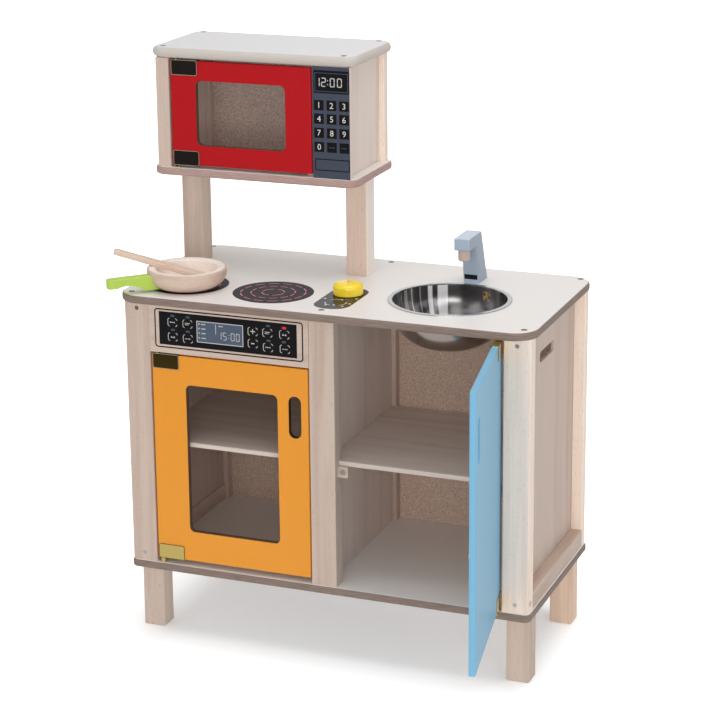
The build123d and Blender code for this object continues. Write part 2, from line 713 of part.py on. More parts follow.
# Steel sink bowl, which hangs by its rim in the worktop: a solid with a rounded foot, hollowed by
# the same profile one sheet further in
mouth = rim_diameter / 2 - rim_width
bottom = worktop_top - bowl_depth
with BuildPart() as sink_bowl:
    for skin, mode in ((0, Mode.ADD), (steel, Mode.SUBTRACT)):
        wall = mouth + steel - skin
        with BuildSketch(Plane((sink_x, sink_y, bottom + skin), x_dir=(1, 0, 0), z_dir=(0, -1, 0))):
            Polygon((0, 0), (wall - bowl_draft, 0), (wall, bowl_depth), (0, bowl_depth), align=None)
            fillet(vertices().group_by(Axis.Y)[0].sort_by(Axis.X)[-1], radius=bowl_round - skin)
        revolve(axis=Axis((sink_x, sink_y, 0), (0, 0, 1)), mode=mode)
        if mode == Mode.ADD:
            with Locations((sink_x, sink_y, worktop_top)):
                Cylinder(rim_diameter / 2, steel, align=(Align.CENTER, Align.CENTER, Align.MIN))
    fillet(edges().filter_by(lambda e: e.length > math.pi * (rim_diameter - steel)).sort_by(Axis.Z)[-1],
           radius=steel / 2)
save(sink_bowl, "sink_bowl")

# Tap: a leaning body with a level head, and a wooden nozzle under it
with BuildPart() as tap_body:
    with BuildSketch(Plane.YZ.offset(tap_x)):
        Polygon(
            (tap_front, worktop_top),
            (tap_back, worktop_top),
            (tap_head_back, worktop_top + tap_neck + tap_head),
            (tap_head_front, worktop_top + tap_neck + tap_head),
            (tap_head_front, worktop_top + tap_neck),
            (tap_front - tap_lean, worktop_top + tap_neck),
            align=None,
        )
    extrude(amount=tap_width / 2, both=True)
    fillet(edges().filter_by(lambda e: e.center().Z > worktop_top + tap_round), radius=tap_round)
save(tap_body, "tap_body")

with BuildPart() as tap_nozzle:
    with Locations((tap_x, nozzle_y, worktop_top + tap_neck - nozzle_length)):
        Cylinder(nozzle_diameter / 2, nozzle_length, align=(Align.CENTER, Align.CENTER, Align.MIN))
    chamfer(faces().sort_by(Axis.Z)[0].edges(), length=small_round)
save(tap_nozzle, "tap_nozzle")

# Timer knob on its spindle
knob_radius = knob_diameter / 2
knob_base = worktop_top + knob_gap
with BuildPart() as knob_spindle:
    with Locations((knob_x, knob_y, worktop_top - board + back_board)):
        Cylinder(spindle_diameter / 2, board - back_board + spindle_height,
                 align=(Align.CENTER, Align.CENTER, Align.MIN))
    chamfer(faces().sort_by(Axis.Z)[-1].edges(), length=small_round / 3)
save(knob_spindle, "knob_spindle")

dome_radius = (knob_radius ** 2 + knob_dome ** 2) / (2 * knob_dome)
dome_middle = knob_height - dome_radius + math.sqrt(dome_radius ** 2 - knob_radius ** 2 / 4)
with BuildPart() as timer_knob:
    with BuildSketch(Plane((knob_x, knob_y, knob_base), x_dir=(1, 0, 0), z_dir=(0, -1, 0))):
        with BuildLine():
            Polyline((0, knob_height), (0, 0), (knob_radius, 0), (knob_radius, knob_height - knob_dome))
            ThreePointArc((knob_radius, knob_height - knob_dome), (knob_radius / 2, dome_middle),
                          (0, knob_height))
        make_face()
        fillet(vertices().group_by(Axis.X)[-1].sort_by(Axis.Y)[-1], radius=knob_round)
    revolve(axis=Axis((knob_x, knob_y, 0), (0, 0, 1)))
    chamfer(edges().filter_by(GeomType.CIRCLE).sort_by(Axis.Z)[0], length=small_round / 3)
    drill(knob_x, knob_y, knob_base, spindle_diameter + 2 * snug, spindle_height, (0, 0, 1))
save(timer_knob, "timer_knob")

# Pan with a mortise in its wall for the handle, and the spoon that lies in it
pan_base = worktop_top + slack
pan_rim = pan_base + pan_height
pan_radius = pan_diameter / 2
handle_way = Location((pan_x, pan_y, 0), (0, 0, handle_angle))
handle_top = pan_rim - handle_drop
handle_under = handle_top - handle_root_height
handle_end_under = handle_top - handle_end_height
with BuildPart() as pan_bowl:
    with Locations((pan_x, pan_y, pan_base)):
        Cylinder(pan_radius, pan_height, align=(Align.CENTER, Align.CENTER, Align.MIN))
    fillet(edges().group_by(Axis.Z)[0], radius=pan_foot_round)
    with BuildPart(mode=Mode.PRIVATE) as pan_hollow:
        with Locations((pan_x, pan_y, pan_base + pan_floor)):
            Cylinder(pan_radius - pan_wall, pan_height, align=(Align.CENTER, Align.CENTER, Align.MIN))
        fillet(edges().group_by(Axis.Z)[0], radius=pan_foot_round / 2)
    add(pan_hollow.part, mode=Mode.SUBTRACT)
    fillet(edges().filter_by(GeomType.CIRCLE).group_by(Axis.Z)[-1], radius=pan_rim_round)
    with Locations(handle_way * Location((handle_root - snug, 0, handle_under - snug))):
        Box(pan_radius, handle_width + 2 * snug, handle_root_height + 2 * snug,
            align=(Align.MIN, Align.CENTER, Align.MIN), mode=Mode.SUBTRACT)
save(pan_bowl, "pan_bowl")

with BuildPart() as pan_handle:
    with BuildSketch(Plane(handle_way.position, x_dir=handle_way.x_axis.direction,
                           z_dir=-handle_way.y_axis.direction)):
        with BuildLine():
            Polyline((handle_neck, handle_under), (handle_root, handle_under), (handle_root, handle_top),
                     (handle_end, handle_top), (handle_end, handle_end_under),
                     (handle_end - handle_end_height, handle_end_under))
            ThreePointArc((handle_end - handle_end_height, handle_end_under),
                          ((handle_neck + handle_end - handle_end_height) / 2,
                           handle_end_under + handle_arch),
                          (handle_neck, handle_under))
        make_face()
    extrude(amount=handle_width / 2, both=True)
    fillet(edges().filter_by(Axis.Z).sort_by(SortBy.DISTANCE, reverse=True)[:2], radius=handle_width / 3)
    fillet(edges().group_by(Axis.Z)[-1], radius=small_round)
save(pan_handle, "pan_handle")

# The spoon leans over the rim of the pan, with its tip on the pan's floor
spoon_low = pan_base + pan_floor + slack
lean = math.atan2(pan_rim - spoon_low, pan_radius - pan_wall + spoon_tip_reach)
spoon_way = (Location((pan_x, pan_y, spoon_low), (0, 0, spoon_angle))
             * Location((-spoon_tip_reach, 0, 0), (0, -math.degrees(lean), 0)))
with BuildPart() as spoon:
    with BuildSketch(Plane(spoon_way)):
        with Locations((spoon_blade / 2, 0)):
            Circle(spoon_blade / 2)
        with Locations((spoon_length - spoon_grip / 2, 0)):
            Circle(spoon_grip / 2)
        make_hull()
    extrude(amount=spoon_thickness)
    fillet(faces().sort_by(Axis(spoon_way.position, spoon_way.z_axis.direction))[-1].edges(),
           radius=small_round)
save(spoon, "spoon")
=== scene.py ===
import math

import bmesh
import bpy
from mathutils import Matrix, Vector


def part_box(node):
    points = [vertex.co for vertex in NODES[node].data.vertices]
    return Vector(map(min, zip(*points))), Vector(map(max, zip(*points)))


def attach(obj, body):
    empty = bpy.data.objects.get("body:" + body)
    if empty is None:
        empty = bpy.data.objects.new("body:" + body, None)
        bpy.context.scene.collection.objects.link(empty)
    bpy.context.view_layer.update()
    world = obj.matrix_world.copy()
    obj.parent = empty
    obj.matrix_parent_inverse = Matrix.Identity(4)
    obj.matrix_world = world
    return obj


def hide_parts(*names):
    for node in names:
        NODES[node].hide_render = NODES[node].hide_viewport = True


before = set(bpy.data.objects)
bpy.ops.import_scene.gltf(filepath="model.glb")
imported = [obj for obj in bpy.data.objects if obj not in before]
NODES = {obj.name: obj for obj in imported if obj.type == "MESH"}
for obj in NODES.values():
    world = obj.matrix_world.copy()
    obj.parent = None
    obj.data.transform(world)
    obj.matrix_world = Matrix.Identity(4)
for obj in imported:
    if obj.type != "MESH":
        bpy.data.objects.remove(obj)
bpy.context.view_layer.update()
MM = 0.001
BLACK = (0, 0, 0, 1)
FULL = (1, 1, 1, 1)


def srgb(r, g, b):
    """A colour given as 0-255 screen values, made linear."""
    out = []
    for v in (r, g, b):
        v = v / 255
        out.append(v / 12.92 if v <= 0.04045 else ((v + 0.055) / 1.055) ** 2.4)
    return (out[0], out[1], out[2], 1.0)


def darker(c, k):
    return (c[0] * k, c[1] * k, c[2] * k, 1.0)


def grey(v):
    return (v, v, v, 1)


# Materials

class Mat:
    """A small helper round one material's node tree."""

    def __init__(self, name, rough=0.5, metallic=0.0):
        self.m = bpy.data.materials.new(name)
        self.m.use_nodes = True
        self.nt = self.m.node_tree
        self.bsdf = self.nt.nodes["Principled BSDF"]
        self.bsdf.inputs["Roughness"].default_value = rough
        self.bsdf.inputs["Metallic"].default_value = metallic
        self.coord = self.add("ShaderNodeTexCoord").outputs["Object"]

    def add(self, kind, **values):
        n = self.nt.nodes.new(kind)
        for k, v in values.items():
            setattr(n, k, v)
        return n

    def link(self, a, b):
        self.nt.links.new(a, b)

    def parts(self, vector):
        """The X, Y and Z of a vector."""
        n = self.add("ShaderNodeSeparateXYZ")
        self.link(vector, n.inputs["Vector"])
        return n.outputs

    def place(self):
        """Where the point lies, in metres."""
        return self.parts(self.coord)

    def facing(self):
        """Where the surface looks."""
        return self.parts(self.add("ShaderNodeNewGeometry").outputs["Normal"])

    def mapped(self, scale, location=(0, 0, 0)):
        n = self.add("ShaderNodeMapping")
        n.inputs["Scale"].default_value = scale
        n.inputs["Location"].default_value = location
        self.link(self.coord, n.inputs["Vector"])
        return n.outputs["Vector"]

    def noise(self, vector, scale, detail=4.0, rough=0.5, distortion=0.0):
        n = self.add("ShaderNodeTexNoise")
        n.inputs["Scale"].default_value = scale
        n.inputs["Detail"].default_value = detail
        n.inputs["Roughness"].default_value = rough
        n.inputs["Distortion"].default_value = distortion
        self.link(vector, n.inputs["Vector"])
        return n.outputs["Fac"]

    def ramp(self, fac, stops):
        n = self.add("ShaderNodeValToRGB")
        els = n.color_ramp.elements
        while len(els) < len(stops):
            els.new(0.5)
        for e, (p, c) in zip(els, stops):
            e.position = p
            e.color = c
        self.link(fac, n.inputs["Fac"])
        return n.outputs["Color"]

    def mask(self, fac, low, high, top=1.0):
        """Black up to the low value, rising to the top at the high one."""
        return self.ramp(fac, [(low, BLACK), (high, grey(top))])

    def fill(self, sock, v):
        """Set a socket to a value, or link it."""
        if isinstance(v, (int, float, tuple)):
            sock.default_value = v
        else:
            self.link(v, sock)

    def mix(self, fac, a, b):
        n = self.add("ShaderNodeMix", data_type="RGBA", blend_type="MIX")
        for sock, v in ((n.inputs[0], fac), (n.inputs[6], a), (n.inputs[7], b)):
            self.fill(sock, v)
        return n.outputs[2]

    def math(self, op, a, b=0.0, clamp=False):
        n = self.add("ShaderNodeMath", operation=op)
        n.use_clamp = clamp
        self.fill(n.inputs[0], a)
        self.fill(n.inputs[1], b)
        return n.outputs[0]

    def times(self, *factors):
        """The product of the factors."""
        out = factors[0]
        for f in factors[1:]:
            out = self.math("MULTIPLY", out, f)
        return out

    def bump(self, height, strength, distance):
        n = self.add("ShaderNodeBump")
        n.inputs["Strength"].default_value = strength
        n.inputs["Distance"].default_value = distance
        self.link(height, n.inputs["Height"])
        self.link(n.outputs["Normal"], self.bsdf.inputs["Normal"])

    def colour(self, out):
        self.fill(self.bsdf.inputs["Base Color"], out)

    def rough(self, out):
        self.link(out, self.bsdf.inputs["Roughness"])

    def emit(self, colour):
        n = self.add("ShaderNodeEmission")
        self.link(colour, n.inputs["Color"])
        return n.outputs["Emission"]

    def either(self, fac, a, b):
        """One shader where the factor is 0 and another where it is 1."""
        n = self.add("ShaderNodeMixShader")
        self.link(fac, n.inputs["Fac"])
        self.link(a, n.inputs[1])
        self.link(b, n.inputs[2])
        return n.outputs["Shader"]


WOOD_ROUGH = 0.52
ALONG = {"X": 0, "Y": 1, "Z": 2}


def wood(name, light, dark, axis, fleck=0.5, seed=0.0, side=None):
    """Beech-like wood: soft bands and fine flecks along one axis; if side is given, the faces that look
    right are painted paler, as painted light from the right.
    """
    w = Mat(name, WOOD_ROUGH)
    shift = (seed * 3.1, seed * 1.7, seed * 2.3)

    def drawn_out(share):
        """Coordinates that stretch a texture along the grain."""
        return w.mapped(tuple(share if i == ALONG[axis] else 1 for i in range(3)), shift)

    bands = w.noise(drawn_out(0.06), 38, 3, 0.5, 0.6)
    base = w.ramp(bands, [(0.3, dark), (0.52, light), (0.75, darker(light, 1.04))])
    fibres = w.noise(drawn_out(0.025), 420, 3, 0.6)
    between = w.ramp(fibres, [(0.35, grey(0.5)), (0.65, BLACK)])
    base = w.mix(between, base, darker(light, 0.86))
    flecks = w.noise(drawn_out(0.16), 900, 1, 0.5)
    base = w.mix(w.mask(flecks, 0.66, 0.74, fleck), base, darker(dark, 0.62))
    if side:
        # Faces that look right are painted paler: painted light from the right
        painted_light_right = w.math("GREATER_THAN", w.facing()["X"], 0.7)
        base = w.mix(w.times(painted_light_right, 0.8), base, side)
    w.colour(base)
    w.rough(w.math("ADD", w.times(fibres, 0.22), WOOD_ROUGH - 0.1))
    w.bump(fibres, 0.25, 0.0002)
    return w.m


def coated_board(name, top, edge, edge_light):
    """A board with a pale coated face above and below, and a grey-brown edge."""
    w = Mat(name, 0.4)
    face = w.mask(w.math("ABSOLUTE", w.facing()["Z"]), 0.80, 0.93)
    fine = w.noise(w.mapped((1, 1, 1)), 900, 2, 0.5)
    cloud = w.noise(w.mapped((1, 1, 1)), 6, 2, 0.5)
    face_colour = w.mix(w.times(fine, 0.10), top, darker(top, 0.86))
    face_colour = w.mix(w.times(cloud, 0.08), face_colour, darker(top, 0.9))
    streak = w.noise(w.mapped((0.3, 0.3, 6)), 160, 3, 0.6)
    edge_colour = w.mix(w.mask(streak, 0.3, 0.7), edge, edge_light)
    w.colour(w.mix(face, edge_colour, face_colour))
    w.rough(w.ramp(face, [(0, grey(0.6)), (1, grey(0.38))]))
    w.bump(fine, 0.06, 0.0002)
    return w.m


def paint(name, c, rough=0.38, grain=0.035, cuts=(), shine=0.5, faces=()):
    """Satin paint over board: faint orange peel and a slight change of tone.

    The cuts are boxes in X and Z round the openings, with the colour of their inner faces: raw board,
    darkened as painted shade where the opening looks dark.
    The faces give an axis and the tone of what looks that way, as painted light and shade.
    """
    w = Mat(name, rough)
    w.bsdf.inputs["Specular IOR Level"].default_value = shine
    peel = w.noise(w.mapped((1, 1, 1)), 520, 3, 0.5)
    cloud = w.noise(w.mapped((1, 1, 1)), 14, 2, 0.5)
    tone = w.mix(w.times(cloud, 0.22), c, darker(c, 0.9))
    tone = w.mix(w.times(peel, grain * 3), tone, darker(c, 0.8))
    if cuts or faces:
        at = w.place()
        facing = w.facing()
        # Faces that look one way get another tone: painted light and shade
        for axis, other in faces:
            tone = w.mix(w.math("GREATER_THAN", facing[axis], 0.7), tone, other)
        inner = w.math("LESS_THAN", w.math("ABSOLUTE", facing["Y"]), 0.6)
        # Inner faces of the openings take the cut's colour: raw board on the keypad, painted shade in the
        # doors
        for x0, x1, z0, z1, inner_tone in cuts:
            mask = inner
            for axis, low, high in (("X", x0, x1), ("Z", z0, z1)):
                mask = w.times(mask, w.math("GREATER_THAN", at[axis], low * MM))
                mask = w.times(mask, w.math("LESS_THAN", at[axis], high * MM))
            tone = w.mix(mask, tone, inner_tone)
    w.colour(tone)
    w.rough(w.math("ADD", w.times(peel, 0.1), rough - 0.05))
    w.bump(peel, 0.08, 0.00025)
    return w.m


def metal(name, c, rough):
    w = Mat(name, rough, 1.0)
    lines = w.noise(w.mapped((1, 1, 1)), 600, 3, 0.6)
    w.colour(w.mix(w.times(lines, 0.25), c, darker(c, 0.8)))
    w.rough(w.math("ADD", w.times(lines, rough * 0.6), rough * 0.7))
    w.bump(lines, 0.1, 0.0001)
    return w.m


# Painted reflections in the bowl, each a bright band: the angle round its middle and half the width in
# degrees, and the strength
PAINTED_REFLECTIONS = ((129.6, 2.4, 0.95), (151.5, 0.9, 0.5), (160.5, 2.6, 0.42), (141.0, 0.8, 0.4),
           (84.0, 9.0, 0.06), (167.5, 1.0, 0.3))
# The widest painted reflection, the light lower one and the ochre one
WIDE_PAINTED_REFLECTION = (116.4, 5.2, 1.0)
LOW_PAINTED_REFLECTION = (110.0, 20.0, 1.0)
OCHRE_PAINTED_REFLECTION = (68.0, 4.5, 1.0)
# Depths under the bowl's edge in mm: the painted reflection of the light lower part begins at one and is
# full after the other, and the ochre painted reflection has its middle and half its height
LOW_DEPTH, LOW_FADE = 28, 16
OCHRE_REFLECTION_DEPTH, OCHRE_REFLECTION_HALF = 12, 6


def steel_with_painted_reflections(name, cx, cy, edge):
    """Polished steel with painted reflections: dark inside the bowl, with the bright bands, light lower
    part and ochre patch of a round mirror, and browner outside under the edge.
    """
    w = Mat(name, 0.2, 1.0)
    at = w.place()
    x = w.math("SUBTRACT", at["X"], cx * MM)
    y = w.math("SUBTRACT", at["Y"], cy * MM)
    z = at["Z"]
    facing = w.facing()
    outward = w.math("ADD", w.times(facing["X"], x), w.times(facing["Y"], y))
    # Below zero where the surface looks at the bowl's middle or up, and above zero on its outside
    side = w.math("SUBTRACT", w.times(outward, 11.0), w.times(facing["Z"], 0.5))
    below = w.math("LESS_THAN", z, (edge - 0.5) * MM)
    inside = w.times(w.math("LESS_THAN", side, 0.0), below)
    outside = w.times(w.math("GREATER_THAN", side, 0.0), below)
    angle = w.times(w.math("ARCTAN2", y, x), 180 / math.pi)

    def streak(middle, half, strength):
        """A painted reflection: a bright band round one angle, soft at its sides."""
        away = w.math("DIVIDE", w.math("ABSOLUTE", w.math("SUBTRACT", angle, middle)), half)
        soft = w.math("MULTIPLY", w.math("SUBTRACT", 1.15, away, True), 4.0, True)
        return w.times(soft, strength)

    bright = streak(*WIDE_PAINTED_REFLECTION)
    for one in PAINTED_REFLECTIONS:
        bright = w.math("MAXIMUM", bright, streak(*one))
    # The light lower part: painted reflection
    low = w.math("DIVIDE", w.math("SUBTRACT", (edge - LOW_DEPTH) * MM, z), LOW_FADE * MM, True)
    low = w.times(low, streak(*LOW_PAINTED_REFLECTION), 0.34)
    bright = w.math("MAXIMUM", bright, low)
    lines = w.noise(w.mapped((1, 1, 0.15)), 600, 3, 0.6)
    # Dark steel inside the bowl: painted reflection
    dark = w.mix(w.times(lines, 0.3), srgb(132, 129, 129), srgb(102, 98, 98))
    # The ochre patch: painted reflection
    patch = w.mask(w.noise(w.mapped((1, 1, 1)), 190, 2, 0.5), 0.44, 0.52)
    level = w.math("ABSOLUTE", w.math("SUBTRACT", z, (edge - OCHRE_REFLECTION_DEPTH) * MM))
    ochre_reflection = w.times(streak(*OCHRE_PAINTED_REFLECTION), patch, w.math("LESS_THAN", level, OCHRE_REFLECTION_HALF * MM))
    inner = w.mix(bright, dark, srgb(250, 249, 249))
    inner = w.mix(w.times(ochre_reflection, 0.8), inner, srgb(206, 158, 66))
    c = w.mix(outside, srgb(196, 198, 200), srgb(165, 156, 150))
    w.colour(w.mix(inside, c, inner))
    # Less metal where the painted reflections are, so their colours show
    mirror = w.math("SUBTRACT", 1.0, w.times(w.math("MAXIMUM", bright, ochre_reflection), 0.8))
    metallic = w.math("MAXIMUM", mirror, w.math("SUBTRACT", 1.0, inside))
    w.link(metallic, w.bsdf.inputs["Metallic"])
    w.bump(lines, 0.05, 0.0001)
    return w.m


def hardboard(name, c):
    """Pressed board with fine dark fibres."""
    w = Mat(name, 0.65)
    v = w.mapped((1, 1, 1))
    fine = w.noise(v, 700, 4, 0.7)
    coarse = w.noise(v, 160, 3, 0.6)
    tone = w.ramp(fine, [(0.34, darker(c, 0.55)), (0.52, c), (0.68, darker(c, 1.45))])
    tone = w.mix(w.times(coarse, 0.4), tone, darker(c, 0.75))
    dots = w.noise(w.mapped((1, 1, 1), (3, 5, 7)), 430, 2, 0.6)
    w.colour(w.mix(w.mask(dots, 0.6, 0.67, 0.75), tone, darker(c, 0.3)))
    w.bump(fine, 0.3, 0.0003)
    return w.m


# Levels and places of the solids, in mm
WORKTOP = 520.0
KEYPAD_FRONT = -19.0
PANEL_FRONT = -138.0
SINK = (150.0, -26.0)
KNOB = (5.0, -46.0)
PAN = (-228.0, -85.0)

LIGHT = srgb(210, 189, 174)
DARK = srgb(190, 165, 149)
BEECH_Z = [wood(f"beech_z{i}", LIGHT, DARK, "Z", seed=i * 1.3) for i in range(4)]
# Paler copies of the beech for the posts at the right, the right support post and the rear right leg:
# painted light from the right
PALE_BEECH = [wood(f"pale_beech{i}", srgb(255, 236, 220), srgb(240, 217, 200), "Z", seed=20 + i)
              for i in range(2)]
SUPPORT_PAINTED_LIGHT = wood("support_beech_painted_light", srgb(224, 199, 182), srgb(204, 176, 158), "Z", seed=30,
               side=srgb(250, 240, 232))
MID_BEECH = wood("mid_beech", srgb(238, 208, 184), srgb(220, 188, 162), "Z", seed=33)
BEECH_X = wood("beech_x", LIGHT, DARK, "X", seed=6)
BEECH_Y = wood("beech_y", LIGHT, DARK, "Y", seed=8)
PLY_Z = wood("plywood_z", srgb(207, 187, 174), srgb(191, 169, 155), "Z", fleck=0.35, seed=11)
PLY_PALE = wood("plywood_pale", srgb(230, 214, 204), srgb(214, 196, 184), "Z", fleck=0.3, seed=12)
PLY_X = wood("plywood_x", srgb(224, 208, 197), srgb(208, 190, 178), "X", fleck=0.2, seed=13)
PAN_WOOD = wood("pan_wood", srgb(218, 193, 177), srgb(202, 174, 157), "X", fleck=0.3, seed=17)
# A paler copy of the pan's wood for its inside and rim top: painted light
PAN_INSIDE_PAINTED_LIGHT = wood("pan_inside_painted_light", srgb(255, 242, 232), srgb(246, 226, 212), "X", fleck=0.25, seed=18)
SPOON_WOOD = wood("spoon_wood", srgb(230, 206, 188), srgb(214, 184, 162), "X", fleck=0.35, seed=19)
IVORY = srgb(238, 233, 229)
BOARD = coated_board("coated_board", IVORY, srgb(120, 102, 92), srgb(148, 130, 119))
BOARD_UPPER = coated_board("coated_board_upper", IVORY, srgb(165, 134, 127), srgb(190, 160, 152))
WHITE = coated_board("white_top", srgb(224, 222, 222), srgb(196, 188, 180), srgb(205, 198, 190))
# Inner faces of the door openings: raw board darkened as painted shade, and painted shade in the handle
# slot
OPENING_EDGE_PAINTED_SHADE = srgb(96, 74, 62)
SLOT_PAINTED_SHADE = srgb(58, 40, 30)
RAW_EDGE = srgb(225, 205, 195)
RED = paint("red_paint", srgb(184, 11, 21), 0.42, cuts=((-242, -98, 706, 812, OPENING_EDGE_PAINTED_SHADE),), shine=0.22)
ORANGE = paint("orange_paint", srgb(240, 155, 38), 0.4,
               cuts=((-214, -64, 160, 394, OPENING_EDGE_PAINTED_SHADE), (-55, -28, 324, 394, SLOT_PAINTED_SHADE)))
BLUE = paint("blue_paint", srgb(122, 184, 218), 0.4)
SLATE = paint("slate_paint", srgb(68, 74, 90), 0.5, cuts=((-60, 10, 660, 860, RAW_EDGE),), shine=0.3)
# The tap's top is painted lighter and its right side darker: painted light and shade
TAP_PAINTED_LIGHT = paint("tap_paint", srgb(176, 191, 210), 0.4,
            faces=(("Z", srgb(200, 213, 228)), ("X", srgb(154, 167, 184))))
YELLOW = paint("yellow_paint", srgb(255, 222, 48), 0.14, grain=0.015, shine=0.7)
LIME = paint("lime_paint", srgb(184, 214, 88), 0.4)
STEEL = metal("steel", srgb(196, 198, 200), 0.3)
BOWL = steel_with_painted_reflections("steel_with_painted_reflections", SINK[0], SINK[1], WORKTOP)
BRASS = metal("brass", srgb(206, 184, 112), 0.07)
DARK_BRASS = metal("dark_brass", srgb(190, 182, 182), 0.07)
BACK = hardboard("hardboard", srgb(218, 190, 172))
UPPER_BACK = hardboard("hardboard_upper", srgb(216, 192, 178))
PLUG = paint("plug_brown", srgb(134, 104, 84), 0.5)

LOOKS = {
    "base_board": BOARD, "worktop": BOARD, "microwave_floor": BOARD_UPPER, "microwave_top": WHITE,
    "worktop_plugs": PLUG, "rail_plugs": BEECH_Y, "microwave_plugs": PLUG,
    "lower_rail_left": BEECH_Y, "lower_rail_right": BEECH_Y,
    "upper_rail_left": BEECH_Y, "upper_rail_right": BEECH_Y,
    "side_panel_left": PLY_Z, "side_panel_right": PLY_Z, "divider_panel": PLY_PALE,
    "microwave_side_left": PLY_PALE, "microwave_side_right": PLY_PALE,
    "front_post_right": PALE_BEECH[0], "rear_post_right": PALE_BEECH[1],
    "microwave_post_rear_right": PALE_BEECH[1], "leg_rear_right": MID_BEECH,
    "support_post_left": BEECH_Z[3], "support_post_right": SUPPORT_PAINTED_LIGHT,
    "back_panel": BACK, "microwave_back": UPPER_BACK,
    "oven_shelf": PLY_X, "sink_shelf": PLY_X,
    "oven_shelf_cleats": BEECH_X, "sink_shelf_cleats": BEECH_X, "control_panel": BEECH_X,
    "oven_door": ORANGE, "sink_door": BLUE, "microwave_door": RED, "keypad_board": SLATE,
    "tap_body": TAP_PAINTED_LIGHT, "tap_nozzle": BEECH_Z[0], "timer_knob": YELLOW, "knob_spindle": STEEL,
    "sink_bowl": BOWL, "pan_bowl": PAN_WOOD, "pan_handle": LIME, "spoon": SPOON_WOOD,
    "post_screws": STEEL, "oven_strike": STEEL, "sink_strike": STEEL, "microwave_strike": STEEL,
    "door_magnets": STEEL, "hinge_bushes": BRASS, "oven_hinge_clamps": BRASS,
    "sink_hinge_clamps": BRASS, "microwave_hinge_clamps": DARK_BRASS, "microwave_stops": BEECH_X,
}
spare = 0
for name, obj in NODES.items():
    look = LOOKS.get(name)
    if look is None:
        look = BEECH_Z[spare % len(BEECH_Z)]
        spare += 1
    obj.data.materials.clear()
    obj.data.materials.append(look)


# Printed marks, and painted light on the edges of the hinge clamps

def front(y):
    """Marks on a face that looks to the front: u is X, v is Z, in mm."""
    return lambda u, v, lift: Vector((u * MM, (y - lift) * MM, v * MM))


def top(z):
    """Marks on a face that looks up: u is X, v is Y, in mm."""
    return lambda u, v, lift: Vector((u * MM, v * MM, (z + lift) * MM))


def piece(name, bm, looks):
    """A visible object from a finished bmesh, which it frees."""
    me = bpy.data.meshes.new(name)
    bm.to_mesh(me)
    bm.free()
    ob = bpy.data.objects.new(name, me)
    bpy.context.collection.objects.link(ob)
    for look in looks:
        me.materials.append(look)
    return ob


def marks(name, polys, look, place, lift, body):
    """One thin printed piece from flat polygons."""
    bm = bmesh.new()
    for poly in polys:
        bm.faces.new([bm.verts.new(place(u, v, lift)) for u, v in poly])
    bmesh.ops.recalc_face_normals(bm, faces=bm.faces[:])
    out = place(0, 0, 1) - place(0, 0, 0)
    for f in bm.faces:
        f.normal_update()
        if f.normal.dot(out) < 0:
            f.normal_flip()
    ob = piece(name, bm, (look,))
    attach(ob, body)


def around(cx, cy, r, turn):
    """The point of a circle at an angle in radians."""
    return (cx + r * math.cos(turn), cy + r * math.sin(turn))


def rounded(x0, x1, y0, y1, r, n=5):
    """A rectangle with round corners of n steps each."""
    pts = []
    for cx, cy, a in ((x1 - r, y1 - r, 0), (x0 + r, y1 - r, 90),
                      (x0 + r, y0 + r, 180), (x1 - r, y0 + r, 270)):
        pts += [around(cx, cy, r, math.radians(a + 90 * i / n)) for i in range(n + 1)]
    return pts


def band(outer, inner):
    """Quads between two outlines with the same number of points."""
    n = len(outer)
    return [[outer[i], outer[(i + 1) % n], inner[(i + 1) % n], inner[i]] for i in range(n)]


def frame_line(x0, x1, y0, y1, r, w, n=5):
    """A line of width w inside a rounded rectangle."""
    inner = rounded(x0 + w, x1 - w, y0 + w, y1 - w, max(r - w, 0.05), n)
    return band(rounded(x0, x1, y0, y1, r, n), inner)


def disc(cx, cy, r, n=48):
    return [around(cx, cy, r, 2 * math.pi * i / n) for i in range(n)]


def rect(x0, x1, y0, y1):
    return [(x0, y0), (x1, y0), (x1, y1), (x0, y1)]


def sides(x, y, half):
    """The left, right, lower and upper side of a field, by its middle and half its size."""
    return (x - half[0], x + half[0], y - half[1], y + half[1])


def dashes(cx, cy, r, w, count, share, turn=0.0):
    """A broken ring of width w: so many dashes, each with its share of the step."""
    out = []
    for k in range(count):
        a0 = 2 * math.pi * (k + turn) / count
        steps = max(2, int(40 * share / count) + 2)
        arc = [a0 + 2 * math.pi * share / count * i / steps for i in range(steps + 1)]
        for a, b in zip(arc, arc[1:]):
            out.append([around(cx, cy, r + w / 2, a), around(cx, cy, r + w / 2, b),
                        around(cx, cy, r - w / 2, b), around(cx, cy, r - w / 2, a)])
    return out


SEGMENTS = {"0": "abcdef", "1": "bc", "2": "abged", "5": "afgcd"}


def clock_digit(ch, x, y, w, h, t):
    """A segmented digit of stroke t with its lower left corner at x, y."""
    gap = t * 0.35
    end = t * 0.6
    left, right = x + t * 0.7, x + w - t * 0.7
    m = y + h / 2
    bars = {
        "a": (left, right, y + h - t, y + h), "g": (left, right, m - t / 2, m + t / 2),
        "d": (left, right, y, y + t), "f": (x, x + t, m + gap, y + h - end),
        "b": (x + w - t, x + w, m + gap, y + h - end), "e": (x, x + t, y + end, m - gap),
        "c": (x + w - t, x + w, y + end, m - gap),
    }
    return [rect(*bars[s]) for s in SEGMENTS[ch]]


